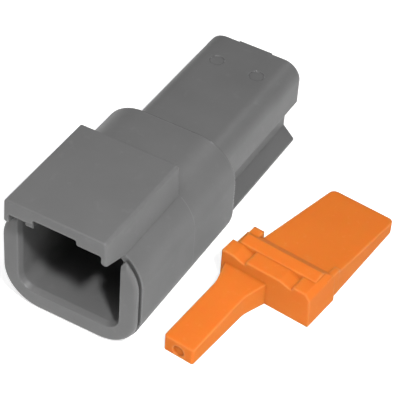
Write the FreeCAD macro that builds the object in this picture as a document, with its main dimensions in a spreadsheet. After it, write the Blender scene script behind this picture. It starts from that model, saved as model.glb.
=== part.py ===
import FreeCAD, Part
import math
import os

import Sketcher
from FreeCAD import Placement, Rotation, Vector

# Two-way sealed receptacle housing with wire seal, pin contacts and wedge lock.
# X is the width, -Y the mating side, Z is up. The origin is in the flat underside.

doc = FreeCAD.newDocument("sealed_receptacle")
os.makedirs("parts", exist_ok=True)
sheet = doc.addObject("Spreadsheet::Sheet", "Sizes")
sheet_row = 0


class Size:
    """A length in millimetres that also knows its formula in the sheet."""

    def __init__(self, number, formula):
        self.number = number
        self.formula = formula

    def __add__(self, other):
        other = as_size(other)
        return Size(self.number + other.number, f"({self.formula} + {other.formula})")

    def __sub__(self, other):
        other = as_size(other)
        return Size(self.number - other.number, f"({self.formula} - {other.formula})")

    def __mul__(self, factor):
        return Size(self.number * factor, f"({self.formula} * {factor})")

    def __truediv__(self, divisor):
        return Size(self.number / divisor, f"({self.formula} / {divisor})")

    def __neg__(self):
        return Size(-self.number, f"(0 - {self.formula})")


def as_size(value):
    return value if isinstance(value, Size) else Size(float(value), repr(float(value)))


def size(alias, number, meaning):
    """Put one named size in the sheet and give it back."""
    global sheet_row
    sheet_row += 1
    sheet.set(f"A{sheet_row}", meaning)
    sheet.set(f"B{sheet_row}", str(number))
    sheet.setAlias(f"B{sheet_row}", alias)
    return Size(float(number), f"Sizes.{alias}")


# Broad body behind the rim
body_length = size("body_length", 22.25, "broad body, along Y")
body_width = size("body_width", 19.2, "broad body, across")
body_height = size("body_height", 15.65, "broad body, underside to top")
body_low_round = size("body_low_round", 5.3, "rounding of its lower corners")
body_top_round = size("body_top_round", 5.6, "rounding of its upper corners")

# Rim bead round the mouth, and the groove behind it
rim_thickness = size("rim_thickness", 0.62, "rim bead, along Y")
rim_inset = size("rim_inset", 0.15, "rim inside the body outline, each side")
rim_edge_round = size("rim_edge_round", 0.5, "rounding of the rim's front edge")
groove_width = size("groove_width", 0.44, "groove behind the rim, along Y")
groove_depth = size("groove_depth", 0.7, "groove below the body outline")
horn_drop = size("horn_drop", 1.45, "rim's two horn ends below the body's top")
horn_round = size("horn_round", 1.1, "quarter round on each horn end")
horn_bevel_drop = size("horn_bevel_drop", 0.9, "bevel inside each horn end, upright")
horn_bevel_width = size("horn_bevel_width", 0.6, "bevel inside each horn end, across")

# Hood over the mouth
hood_reach = size("hood_reach", 2.95, "hood ahead of the rim's face")
hood_length = size("hood_length", 16.45, "hood, along Y")
hood_rise = size("hood_rise", 3.75, "hood's top above the body's top")
hood_top_width = size("hood_top_width", 13.9, "hood across its top")
hood_foot_width = size("hood_foot_width", 14.3, "hood across its foot")
hood_sink = size("hood_sink", 1.35, "hood's foot below the body's top")
hood_edge_round = size("hood_edge_round", 0.45, "rounding of the hood's top edges")
hood_back_bevel = size("hood_back_bevel", 0.4, "bevel on the hood's rear top edge")
hood_wall = size("hood_wall", 1.2, "hood's rear wall")
leg_tip_rise = size("leg_tip_rise", 0.25, "lower tip of the hood's side walls above the body's top")
leg_root_drop = size("leg_root_drop", 1.0, "where their lower edge meets the body, below its top")
leg_tip_round = size("leg_tip_round", 0.4, "rounding of that tip")
hood_front_round = size("hood_front_round", 0.25, "rounding of the hood's front edges")

# Mouth
mouth_width = size("mouth_width", 13.8, "mouth, across")
mouth_floor = size("mouth_floor", 3.0, "height of its floor")
mouth_round = size("mouth_round", 1.8, "rounding of its lower corners")
mouth_roof_wall = size("mouth_roof_wall", 1.55, "wall above the mouth behind the hood")
mouth_shoulder_step = size("mouth_shoulder_step", 0.5, "mouth's shoulders below its top")
mouth_lead = size("mouth_lead", 0.3, "lead-in, each side")
mouth_lead_length = size("mouth_lead_length", 0.75, "lead-in, along Y")
hood_inside_width = size("hood_inside_width", 12.7, "room under the hood, across")
hood_roof_wall = size("hood_roof_wall", 2.1, "hood above its roof")
roof_recess_width = size("roof_recess_width", 6.0, "recess in the roof, across")
roof_recess_depth = size("roof_recess_depth", 0.75, "recess in the roof, upright")
roof_corner_round = size("roof_corner_round", 0.3, "rounding of the roof's corners")
roof_rib_inner = size("roof_rib_inner", 3.7, "guide rib, inner face from the middle")
roof_rib_outer = size("roof_rib_outer", 4.8, "guide rib, outer face from the middle")
roof_rib_hang = size("roof_rib_hang", 1.9, "guide rib below the roof")
roof_rib_setback = size("roof_rib_setback", 1.25, "guide rib behind the hood's lip")
catch_width = size("catch_width", 5.4, "latch catch under the hood, across")
catch_setback = size("catch_setback", 6.2, "latch catch behind the hood's lip")
catch_ramp = size("catch_ramp", 1.7, "ramp of the latch catch, along Y")
catch_land = size("catch_land", 0.8, "land behind that ramp")
catch_hang = size("catch_hang", 1.25, "catch below the recess")
rib_root = size("rib_root", 0.5, "rib and catch let into the wall they stand on")

# Web behind the mouth
mouth_depth = size("mouth_depth", 16.5, "web's face behind the rim's face")
contact_pitch = size("contact_pitch", 6.9, "between the two contacts")
contact_height = size("contact_height", 9.84, "height of the contacts' axes")
front_hole_radius = size("front_hole_radius", 1.05, "hole the pin passes through")
front_wall = size("front_wall", 2.0, "wall that stops the contact's collar")
barrel_bore_radius = size("barrel_bore_radius", 1.65, "bore round the crimp barrel")
boss_radius = size("boss_radius", 2.4, "boss round each pin on the web")
boss_length = size("boss_length", 1.1, "boss, along Y")
boss_bevel = size("boss_bevel", 0.35, "bevel on the boss")
wedge_slot_width = size("wedge_slot_width", 11.9, "slot for the wedge lock, across")
wedge_slot_low = size("wedge_slot_low", 3.2, "height of the slot's floor")
wedge_slot_drop = size("wedge_slot_drop", 2.34, "slot's roof below the contacts' axes")
wedge_slot_draft = size("wedge_slot_draft", 0.35, "slot's walls closing in, each side")
wedge_slot_depth = size("wedge_slot_depth", 5.6, "slot, along Y")
finger_width = size("finger_width", 1.8, "locking finger, across")
finger_thickness = size("finger_thickness", 0.7, "locking finger, upright")
finger_gap = size("finger_gap", 0.35, "air round the locking finger")
finger_hang = size("finger_hang", 0.35, "finger below the slot's roof")
finger_nib = size("finger_nib", 0.35, "nib at the finger's free end")
finger_nib_length = size("finger_nib_length", 0.7, "top of that nib, and its ramp, along Y")
window_rise = size("window_rise", 1.05, "finger's window above the slot's floor")
finger_length = size("finger_length", 3.4, "locking finger, along Y")

# Narrow rear body with the clip rail under it
rear_length = size("rear_length", 22.31, "rear body behind the broad body")
rear_width = size("rear_width", 13.84, "rear body, across")
rear_drop = size("rear_drop", 3.14, "its underside below the contacts' axes")
rear_rise = size("rear_rise", 3.21, "its top above the contacts' axes")
rear_top_round = size("rear_top_round", 2.5, "rounding of its upper corners")
rear_low_round = size("rear_low_round", 0.3, "rounding of its lower corners")
rail_neck_width = size("rail_neck_width", 10.74, "neck of the clip rail, across")
rail_neck_low = size("rail_neck_low", 2.16, "height where the rail's foot flares")
rail_foot_width = size("rail_foot_width", 14.1, "foot of the clip rail, across")
rail_foot_edge = size("rail_foot_edge", 0.48, "height of the foot's outer edge")
rail_foot_round = size("rail_foot_round", 0.2, "rounding of the foot's tips")
channel_width = size("channel_width", 7.8, "channel under the rail, across")
channel_cover = size("channel_cover", 2.3, "rear body's underside above the channel's roof")
channel_round = size("channel_round", 0.4, "rounding of the channel's roof corners")
channel_wall = size("channel_wall", 1.4, "channel's closed end behind the broad body")
clip_catch_width = size("clip_catch_width", 3.6, "clip catch in the channel, across")
clip_catch_hang = size("clip_catch_hang", 1.2, "clip catch below the channel's roof")
clip_catch_ramp = size("clip_catch_ramp", 5.0, "ramp of the clip catch, along Y")
clip_catch_land = size("clip_catch_land", 1.2, "land of the clip catch, along Y")
clip_catch_inset = size("clip_catch_inset", 6.0, "catch ahead of the rear end")
land_width = size("land_width", 4.9, "raised land on the rear end, across")
land_height = size("land_height", 2.2, "raised land, upright")
land_proud = size("land_proud", 0.2, "raised land behind the rear end")
ejector_radius = size("ejector_radius", 1.0, "ejector mark on the rear body's top")
ejector_depth = size("ejector_depth", 0.1, "ejector mark, depth")
ejector_spread = size("ejector_spread", 6.0, "between the two ejector marks")
ejector_inset = size("ejector_inset", 5.2, "ejector marks ahead of the rear end")

# Wire seal in the rear end
seal_pocket_width = size("seal_pocket_width", 11.6, "pocket for the seal, across")
seal_pocket_height = size("seal_pocket_height", 4.3, "pocket for the seal, upright")
seal_pocket_round = size("seal_pocket_round", 2.1, "rounding of that pocket's corners")
seal_pocket_depth = size("seal_pocket_depth", 9.0, "pocket for the seal, along Y")
seal_pocket_bevel = size("seal_pocket_bevel", 0.3, "bevel at its mouth")
seal_rib_clearance = size("seal_rib_clearance", 0.05, "between the seal's ribs and the pocket")
seal_rib_depth = size("seal_rib_depth", 0.35, "between the seal's ribs and its body")
seal_rib_length = size("seal_rib_length", 1.0, "each rib, along Y")
seal_rib_step = size("seal_rib_step", 2.4, "from rib to rib")
seal_end_gap = size("seal_end_gap", 0.7, "seal inside the rear end")
wire_hole_radius = size("wire_hole_radius", 0.85, "hole for a wire")
wire_hole_mouth = size("wire_hole_mouth", 1.8, "plain part of that hole, along Y")
wire_hole_relief = size("wire_hole_relief", 0.4, "widening between its lips")
wire_hole_lip = size("wire_hole_lip", 1.0, "each inner lip, along Y")
wire_hole_valley = size("wire_hole_valley", 1.3, "each widening, along Y")

# Pin contacts
pin_radius = size("pin_radius", 0.51, "pin")
pin_tip_radius = size("pin_tip_radius", 0.22, "flat at the pin's tip")
pin_tip_length = size("pin_tip_length", 0.6, "taper at the pin's tip")
pin_setback = size("pin_setback", 5.6, "pin's tip behind the rim's face")
collar_radius = size("collar_radius", 1.35, "collar against the web")
shank_radius = size("shank_radius", 0.75, "shank through the web")
shank_showing = size("shank_showing", 0.4, "shank ahead of the boss")
collar_length = size("collar_length", 1.3, "collar, along the contact")
waist_radius = size("waist_radius", 0.8, "waist behind the collar")
waist_length = size("waist_length", 3.9, "waist, along the contact")
barrel_radius = size("barrel_radius", 1.05, "crimp barrel")
barrel_length = size("barrel_length", 5.4, "crimp barrel, along the contact")
barrel_hole_radius = size("barrel_hole_radius", 0.7, "hole in the crimp barrel")
barrel_hole_depth = size("barrel_hole_depth", 4.4, "depth of that hole")
barrel_bevel = size("barrel_bevel", 0.2, "bevels of collar and barrel")
barrel_hole_point = size("barrel_hole_point", 0.35, "cone at that hole's bottom")
peep_radius = size("peep_radius", 0.3, "inspection hole in the crimp barrel")
peep_setback = size("peep_setback", 0.55, "inspection hole behind the bottom of the barrel's hole")

# Wedge lock
wedge_x = size("wedge_x", 18.46, "wedge lock's middle, from the housing's middle")
wedge_setback = size("wedge_setback", 16.1, "its block's front behind the rim's face")
wedge_turn = size("wedge_turn", 5.86, "degrees it lies turned")
block_left = size("block_left", 6.75, "block left of its middle")
block_right = size("block_right", 6.6, "block right of its middle")
block_right_draft = size("block_right_draft", 0.3, "right side leaning in below its bevel")
block_depth = size("block_depth", 5.79, "block, along the wedge lock")
block_height = size("block_height", 5.2, "block, underside to front terrace")
block_bevel_rise = size("block_bevel_rise", 0.8, "bevel on the block's upper right edge, upright")
block_bevel_run = size("block_bevel_run", 0.65, "that bevel, across")
block_foot_round = size("block_foot_round", 0.3, "rounding of the block's lower edges")
crown_rise = size("crown_rise", 0.35, "crown's crest above the front terrace")
crown_front = size("crown_front", 2.4, "crown behind the block's front, with the terrace ahead of it")
crown_crest = size("crown_crest", 4.1, "crown's crest behind the block's front")
crown_inset = size("crown_inset", 0.1, "crown inside the block's top")
crown_step = size("crown_step", 0.17, "step up from the terrace to the crown")
notch_width = size("notch_width", 0.9, "notch in the block's left end, across")
notch_low = size("notch_low", 4.0, "height of the notch's floor")
saddle_depth = size("saddle_depth", 0.48, "saddle under each contact")
saddle_slope = size("saddle_slope", 1.4, "sloping flank of each saddle, across")
saddle_floor = size("saddle_floor", 0.5, "floor of each saddle, across")
saddle_shift = size("saddle_shift", 0.3, "saddle's upright flank right of the contact's axis")
left_ear_inset = size("left_ear_inset", 0.65, "left ear inside the block's end")
left_ear_width = size("left_ear_width", 1.5, "left ear, across")
left_ear_length = size("left_ear_length", 0.45, "left ear behind the block")
left_ear_height = size("left_ear_height", 4.95, "height of the left ear")
right_ear_width = size("right_ear_width", 0.8, "right ear, across")
right_ear_length = size("right_ear_length", 1.2, "right ear behind the block")
right_ear_height = size("right_ear_height", 4.55, "height of the right ear")
ear_foot = size("ear_foot", 0.4, "height of its underside")
tongue_offset = size("tongue_offset", 3.04, "tongue left of the block's middle")
tongue_width = size("tongue_width", 4.31, "tongue, across")
tongue_length = size("tongue_length", 13.83, "tongue ahead of the block")
tongue_tip_thick = size("tongue_tip_thick", 2.37, "tongue at its tip")
tongue_root_thick = size("tongue_root_thick", 3.42, "tongue at its root")
tongue_flare = size("tongue_flare", 0.95, "root wider than the tongue, each side")
tongue_flare_length = size("tongue_flare_length", 3.2, "flare of the root")
tongue_flare_round = size("tongue_flare_round", 4.0, "rounding of that flare")
tongue_tip_bevel = size("tongue_tip_bevel", 0.3, "bevel on the tip's edges")
dimple_radius = size("dimple_radius", 0.8, "dimple in the tongue's tip")
dimple_height = size("dimple_height", 0.95, "height of the dimple")
dimple_depth = size("dimple_depth", 0.3, "depth of the dimple")
plate_left = size("plate_left", 4.4, "plate left of the block's middle, at its root")
plate_right = size("plate_right", 6.28, "plate right of the block's middle, at its root")
plate_left_draft = size("plate_left_draft", 0.9, "left edge drawing in to the rear")
plate_right_draft = size("plate_right_draft", 0.36, "right edge drawing in to the rear")
plate_end = size("plate_end", 21.15, "plate's rear end behind the block's front")
plate_root_top = size("plate_root_top", 4.3, "plate's top at the block")
plate_end_top = size("plate_end_top", 2.22, "plate's top at its end")
plate_root_low = size("plate_root_low", 0.3, "plate's underside at the block")
plate_end_low = size("plate_end_low", 0.6, "plate's underside at its end")
plate_corner_round = size("plate_corner_round", 0.9, "rounding of the plate's end corners")
doc.recompute()

# Heights that follow from the body's top and from the contacts' axes
hood_top = body_height + hood_rise
hood_foot = body_height - hood_sink
hood_roof = hood_top - hood_roof_wall
roof_recess_top = hood_roof + roof_recess_depth
roof_rib_bottom = hood_roof - roof_rib_hang
catch_bottom = roof_recess_top - catch_hang
horn_height = body_height - horn_drop
leg_tip_height = body_height + leg_tip_rise
leg_root_height = body_height - leg_root_drop
mouth_top = body_height - mouth_roof_wall
mouth_shoulder = mouth_top - mouth_shoulder_step
wedge_slot_high = contact_height - wedge_slot_drop
rear_low = contact_height - rear_drop
rear_top = contact_height + rear_rise
channel_roof = rear_low - channel_cover
clip_catch_bottom = channel_roof - clip_catch_hang

# Stations along Y and half widths used by several features
sink = Size(1.0, "1.0")
body_front = -body_length / 2
body_back = body_length / 2
rim_back = body_front - groove_width
rim_front = rim_back - rim_thickness
hood_front = rim_front - hood_reach
hood_back = hood_front + hood_length
web_front = rim_front + mouth_depth
front_wall_back = web_front + front_wall
rear_end = body_back + rear_length
seal_pocket_front = rear_end - seal_pocket_depth
contact_x = contact_pitch / 2
body_half = body_width / 2
clear_above = hood_top + sink


def origin_plane(body, role):
    return next(item for item in body.Origin.OriginFeatures if item.Role == role)


def new_body(name):
    body = doc.addObject("PartDesign::Body", name)
    body.Label = name
    return body


def sketch_on(body, role, name, offset):
    """Sketch on one of the body's own planes, moved by offset along that plane's normal."""
    sketch = body.newObject("Sketcher::SketchObject", name)
    sketch.AttachmentSupport = [(origin_plane(body, role), "")]
    sketch.MapMode = "FlatFace"
    offset = as_size(offset)
    sketch.AttachmentOffset = Placement(Vector(0, 0, offset.number), Rotation())
    sketch.setExpression("AttachmentOffset.Base.z", offset.formula)
    return sketch


def bind(sketch, constraint, length):
    """Add one length constraint and tie it to the sheet."""
    index = sketch.addConstraint(constraint)
    sketch.setExpression(f"Constraints[{index}]", length.formula)


def pin_point(sketch, geometry, position, across, up):
    """Hold one sketch point at its distances from the sketch's origin."""
    for kind, axis, length in (("DistanceX", -2, across), ("DistanceY", -1, up)):
        if length.number == 0:
            sketch.addConstraint(Sketcher.Constraint("PointOnObject", geometry, position, axis))
        elif length.number > 0:
            bind(sketch, Sketcher.Constraint(kind, -1, 1, geometry, position, length.number), length)
        else:
            other = -length
            bind(sketch, Sketcher.Constraint(kind, geometry, position, -1, 1, other.number), other)


def corner(across, up, radius=0):
    return as_size(across), as_size(up), as_size(radius)


def outline(sketch, corners):
    """Closed outline through its corners, anticlockwise, each corner sharp or rounded."""
    count = len(corners)
    points = [Vector(across.number, up.number, 0) for across, up, _ in corners]
    ahead = [(points[(i + 1) % count] - points[i]).normalize() for i in range(count)]
    trims = []
    for i, (_, _, radius) in enumerate(corners):
        half_angle = (-ahead[i - 1]).getAngle(ahead[i]) / 2
        trims.append(radius.number / math.tan(half_angle))
    sides = []
    for i in range(count):
        start = points[i] + ahead[i] * trims[i]
        end = points[(i + 1) % count] - ahead[i] * trims[(i + 1) % count]
        sides.append(sketch.addGeometry(Part.LineSegment(start, end), False))
    for i, (across, up, radius) in enumerate(corners):
        before, after = sides[i - 1], sides[i]
        if radius.number == 0:
            sketch.addConstraint(Sketcher.Constraint("Coincident", before, 2, after, 1))
            pin_point(sketch, after, 1, across, up)
            continue
        turns_left = ahead[i - 1].cross(ahead[i]).z > 0
        inward = Vector(0, 0, 1).cross(ahead[i]) * (1 if turns_left else -1)
        centre = points[i] + ahead[i] * trims[i] + inward * radius.number
        from_side = points[i] - ahead[i - 1] * trims[i] - centre
        to_side = points[i] + ahead[i] * trims[i] - centre
        first, last = (from_side, to_side) if turns_left else (to_side, from_side)
        first_angle = math.atan2(first.y, first.x)
        last_angle = math.atan2(last.y, last.x)
        circle = Part.Circle(centre, Vector(0, 0, 1), radius.number)
        arc = sketch.addGeometry(Part.ArcOfCircle(circle, first_angle, last_angle), False)
        arc_in, arc_out = (1, 2) if turns_left else (2, 1)
        sketch.addConstraint(Sketcher.Constraint("Tangent", before, 2, arc, arc_in))
        sketch.addConstraint(Sketcher.Constraint("Tangent", arc, arc_out, after, 1))
        bind(sketch, Sketcher.Constraint("Radius", arc, radius.number), radius)
        mark = sketch.addGeometry(Part.Point(points[i]), True)
        pin_point(sketch, mark, 1, across, up)
        sketch.addConstraint(Sketcher.Constraint("PointOnObject", mark, 1, before))
        sketch.addConstraint(Sketcher.Constraint("PointOnObject", mark, 1, after))
    return sketch


def circles(sketch, centres, radius):
    """One circle of the same radius round every centre."""
    for across, up in centres:
        across, up = as_size(across), as_size(up)
        middle = Vector(across.number, up.number, 0)
        ring = sketch.addGeometry(Part.Circle(middle, Vector(0, 0, 1), radius.number), False)
        pin_point(sketch, ring, 3, across, up)
        bind(sketch, Sketcher.Constraint("Radius", ring, radius.number), radius)
    return sketch


def volume_so_far(body):
    return body.Tip.Shape.Volume if body.Tip and not body.Tip.Shape.isNull() else 0.0


def finish_feature(body, feature, before, adds):
    """Recompute and make sure the feature really added to or took from the volume before."""
    body.Tip = feature
    doc.recompute()
    change = feature.Shape.Volume - before
    if not feature.Shape.isValid() or (change <= 0) == adds:
        raise RuntimeError(f"{feature.Label} changed {body.Label} by {change:.3f} cubic mm")
    return feature


def extruded(body, kind, sketch, name, length, flipped):
    before = volume_so_far(body)
    feature = body.newObject(kind, name)
    feature.Profile = sketch
    feature.Length = length.number
    feature.setExpression("Length", length.formula)
    feature.Reversed = flipped
    sketch.Visibility = False
    return finish_feature(body, feature, before, kind.endswith("Pad"))


def pad_back(body, name, start, end, draw, *shape):
    """Solid from y=start back to y=end."""
    sketch = draw(sketch_on(body, "XZ_Plane", name + "_outline", -as_size(start)), *shape)
    return extruded(body, "PartDesign::Pad", sketch, name, end - start, True)


def cut_back(body, name, start, end, draw, *shape):
    """Hollow from y=start back to y=end."""
    sketch = draw(sketch_on(body, "XZ_Plane", name + "_outline", -as_size(start)), *shape)
    return extruded(body, "PartDesign::Pocket", sketch, name, end - start, False)


def pad_side(body, name, left, right, corners):
    """Solid from x=left to x=right, drawn in Y and Z."""
    sketch = outline(sketch_on(body, "YZ_Plane", name + "_outline", left), corners)
    return extruded(body, "PartDesign::Pad", sketch, name, right - left, False)


def cut_side(body, name, left, right, corners):
    """Hollow from x=left to x=right, drawn in Y and Z."""
    sketch = outline(sketch_on(body, "YZ_Plane", name + "_outline", right), corners)
    return extruded(body, "PartDesign::Pocket", sketch, name, right - left, False)


def pad_up(body, name, low, high, corners):
    """Solid from z=low up to z=high, drawn in X and Y."""
    sketch = outline(sketch_on(body, "XY_Plane", name + "_outline", low), corners)
    return extruded(body, "PartDesign::Pad", sketch, name, high - low, False)


def cut_down(body, name, high, depth, draw, *shape):
    """Hollow from z=high downward, drawn in X and Y."""
    sketch = draw(sketch_on(body, "XY_Plane", name + "_outline", high), *shape)
    return extruded(body, "PartDesign::Pocket", sketch, name, depth, False)


def lofted_cut(body, name, start, end, start_corners, end_corners):
    """Hollow that changes its outline from y=start to y=end."""
    first = outline(sketch_on(body, "XZ_Plane", name + "_front", -start), start_corners)
    last = outline(sketch_on(body, "XZ_Plane", name + "_back", -end), end_corners)
    before = volume_so_far(body)
    feature = body.newObject("PartDesign::SubtractiveLoft", name)
    feature.Profile = first
    feature.Sections = [last]
    feature.Ruled = True
    first.Visibility = False
    last.Visibility = False
    return finish_feature(body, feature, before, False)


def dressed(body, kind, name, length, wanted):
    """Fillet or chamfer on the tip's edges for which wanted(edge) is true."""
    tip = body.Tip
    edges = [f"Edge{i + 1}" for i, edge in enumerate(tip.Shape.Edges) if wanted(edge)]
    feature = body.newObject(kind, name)
    feature.Base = (tip, edges)
    value = "Radius" if kind.endswith("Fillet") else "Size"
    setattr(feature, value, length.number)
    feature.setExpression(value, length.formula)
    body.Tip = feature
    doc.recompute()
    if not feature.Shape.isValid():
        raise RuntimeError(f"{name} on {body.Label} failed")
    return feature


def edge_at(edge, x=None, y=None, z=None):
    """Whether the whole edge lies at the given x, y or z."""
    near = 1e-4
    box = edge.BoundBox
    spans = ((x, box.XMin, box.XMax), (y, box.YMin, box.YMax), (z, box.ZMin, box.ZMax))
    for wanted, low, high in spans:
        if wanted is not None and max(abs(low - wanted.number), abs(high - wanted.number)) > near:
            return False
    return True


def slab(half, low, high, low_round=0, high_round=0):
    """Corners of a symmetric outline in X and Z."""
    return [
        corner(-half, low, low_round),
        corner(half, low, low_round),
        corner(half, high, high_round),
        corner(-half, high, high_round),
    ]


def box_side(front, back, low, high):
    """Corners of a rectangle in Y and Z."""
    return [corner(front, low), corner(back, low), corner(back, high), corner(front, high)]


# Housing
housing = new_body("housing")

rim_half = body_half - rim_inset
rim_rounds = (body_low_round - rim_inset, body_top_round - rim_inset)
rim_corners = slab(rim_half, rim_inset, body_height - rim_inset, *rim_rounds)
pad_back(housing, "rim", rim_front, rim_back, outline, rim_corners)
dressed(housing, "PartDesign::Fillet", "rim_front_edge", rim_edge_round, lambda e: edge_at(e, y=rim_front))

neck_half = body_half - groove_depth
neck_rounds = (body_low_round - groove_depth, body_top_round - groove_depth)
neck_corners = slab(neck_half, groove_depth, body_height - groove_depth, *neck_rounds)
pad_back(housing, "groove_neck", rim_back, body_front, outline, neck_corners)

horn_corners = [
    corner(rim_front - sink, horn_height - horn_round - sink),
    corner(rim_front, horn_height - horn_round - sink),
    corner(rim_front, horn_height, horn_round),
    corner(body_front + sink, horn_height),
    corner(body_front + sink, clear_above),
    corner(rim_front - sink, clear_above),
]
cut_side(housing, "horn_ends", -body_half, body_half, horn_corners)

body_corners = slab(body_half, 0, body_height, body_low_round, body_top_round)
pad_back(housing, "broad_body", body_front, body_back, outline, body_corners)

hood_corners = [
    corner(-hood_foot_width / 2, hood_foot),
    corner(hood_foot_width / 2, hood_foot),
    corner(hood_top_width / 2, hood_top, hood_edge_round),
    corner(-hood_top_width / 2, hood_top, hood_edge_round),
]
pad_back(housing, "hood", hood_front, hood_back, outline, hood_corners)
dressed(
    housing,
    "PartDesign::Chamfer",
    "hood_back_edge",
    hood_back_bevel,
    lambda e: edge_at(e, y=hood_back, z=hood_top),
)
dressed(
    housing,
    "PartDesign::Fillet",
    "hood_front_edge",
    hood_front_round,
    lambda e: edge_at(e, y=hood_front, z=hood_top),
)
leg_corners = [
    corner(hood_front - sink, horn_height),
    corner(body_front, horn_height),
    corner(body_front, leg_root_height),
    corner(hood_front, leg_tip_height, leg_tip_round),
    corner(hood_front, hood_roof),
    corner(hood_front - sink, hood_roof),
]
cut_side(housing, "leg_slope", -body_half, body_half, leg_corners)

# The mouth steps in at its shoulders and opens into the room under the hood
mouth_half = mouth_width / 2
hood_inside_half = hood_inside_width / 2
mouth_corners = [
    corner(-mouth_half, mouth_floor, mouth_round),
    corner(mouth_half, mouth_floor, mouth_round),
    corner(mouth_half, mouth_shoulder),
    corner(hood_inside_half, mouth_top),
    corner(-hood_inside_half, mouth_top),
    corner(-mouth_half, mouth_shoulder),
]
cut_back(housing, "mouth", rim_front, web_front, outline, mouth_corners)
for side, middle in (("left", -mouth_half), ("right", mouth_half)):
    horn_bevel = [
        corner(middle - horn_bevel_width, horn_height),
        corner(middle, horn_height - horn_bevel_drop),
        corner(middle + horn_bevel_width, horn_height),
        corner(middle + horn_bevel_width, leg_root_height),
        corner(middle - horn_bevel_width, leg_root_height),
    ]
    cut_back(housing, "horn_bevel_" + side, rim_front - sink, body_front, outline, horn_bevel)
recess_half = roof_recess_width / 2
room_corners = [
    corner(-hood_inside_half, mouth_shoulder),
    corner(hood_inside_half, mouth_shoulder),
    corner(hood_inside_half, hood_roof, roof_corner_round),
    corner(recess_half, hood_roof, roof_corner_round),
    corner(recess_half, roof_recess_top, roof_corner_round),
    corner(-recess_half, roof_recess_top, roof_corner_round),
    corner(-recess_half, hood_roof, roof_corner_round),
    corner(-hood_inside_half, hood_roof, roof_corner_round),
]
cut_back(housing, "room_under_hood", hood_front, hood_back - hood_wall, outline, room_corners)
wide_half = mouth_half + mouth_lead
wide_round = mouth_round + mouth_lead
wide_mouth = slab(wide_half, mouth_floor - mouth_lead, mouth_top, wide_round, 0)
same_mouth = slab(mouth_half, mouth_floor, mouth_top, mouth_round, 0)
lead_end = rim_front + mouth_lead_length
lofted_cut(housing, "mouth_lead_in", rim_front, lead_end, wide_mouth, same_mouth)

# The guide rib, on the left only, and the latch catch hang from the hood's roof
rib_back = hood_back - hood_wall + rib_root
rib_corners = box_side(hood_front + roof_rib_setback, rib_back, roof_rib_bottom, hood_roof + rib_root)
pad_side(housing, "guide_rib", -roof_rib_outer, -roof_rib_inner, rib_corners)
catch_front = hood_front + catch_setback
catch_corners = [
    corner(catch_front, roof_recess_top + rib_root),
    corner(catch_front, roof_recess_top),
    corner(catch_front + catch_ramp, catch_bottom),
    corner(catch_front + catch_ramp + catch_land, catch_bottom),
    corner(catch_front + catch_ramp + catch_land, roof_recess_top + rib_root),
]
pad_side(housing, "latch_catch", -catch_width / 2, catch_width / 2, catch_corners)

# Rear body and clip rail
rear_half = rear_width / 2
rear_corners = slab(rear_half, rear_low, rear_top, rear_low_round, rear_top_round)
pad_back(housing, "rear_body", body_back - sink, rear_end, outline, rear_corners)
foot_half = rail_foot_width / 2
rail_half = rail_neck_width / 2
rail_corners = [
    corner(-foot_half, 0, rail_foot_round),
    corner(foot_half, 0, rail_foot_round),
    corner(foot_half, rail_foot_edge, rail_foot_round),
    corner(rail_half, rail_neck_low),
    corner(rail_half, rear_low + rear_low_round),
    corner(-rail_half, rear_low + rear_low_round),
    corner(-rail_half, rail_neck_low),
    corner(-foot_half, rail_foot_edge, rail_foot_round),
]
pad_back(housing, "clip_rail", body_back - sink, rear_end, outline, rail_corners)
channel_corners = slab(channel_width / 2, -sink, channel_roof, 0, channel_round)
cut_back(housing, "channel", body_back + channel_wall, rear_end + sink, outline, channel_corners)
clip_catch_back = rear_end - clip_catch_inset
clip_catch_corners = [
    corner(clip_catch_back - clip_catch_land - clip_catch_ramp, channel_roof),
    corner(clip_catch_back - clip_catch_land, clip_catch_bottom),
    corner(clip_catch_back, clip_catch_bottom),
    corner(clip_catch_back, channel_roof + sink),
    corner(clip_catch_back - clip_catch_land - clip_catch_ramp, channel_roof + sink),
]
pad_side(housing, "clip_catch", -clip_catch_width / 2, clip_catch_width / 2, clip_catch_corners)
land_corners = slab(land_width / 2, rear_top - land_height, rear_top)
pad_back(housing, "rear_land", rear_end - seal_pocket_bevel, rear_end + land_proud, outline, land_corners)

# Seal pocket, contact bores and wedge slot
pocket_half = seal_pocket_width / 2
pocket_low = contact_height - seal_pocket_height / 2
pocket_high = contact_height + seal_pocket_height / 2
pocket_corners = slab(pocket_half, pocket_low, pocket_high, seal_pocket_round, seal_pocket_round)
cut_back(housing, "seal_pocket", seal_pocket_front, rear_end + sink, outline, pocket_corners)
contact_centres = ((-contact_x, contact_height), (contact_x, contact_height))
pad_back(housing, "bosses", web_front - boss_length, web_front, circles, contact_centres, boss_radius)
dressed(
    housing,
    "PartDesign::Chamfer",
    "boss_edges",
    boss_bevel,
    lambda e: edge_at(e, y=web_front - boss_length),
)
cut_back(housing, "barrel_bores", front_wall_back, rear_end, circles, contact_centres, barrel_bore_radius)
cut_back(housing, "pin_holes", web_front - boss_length, rear_end, circles, contact_centres, front_hole_radius)
slot_front = slab(wedge_slot_width / 2, wedge_slot_low, wedge_slot_high)
slot_back = slab(
    wedge_slot_width / 2 - wedge_slot_draft,
    wedge_slot_low + wedge_slot_draft,
    wedge_slot_high - wedge_slot_draft,
)
lofted_cut(housing, "wedge_slot", web_front, web_front + wedge_slot_depth, slot_front, slot_back)

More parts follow.
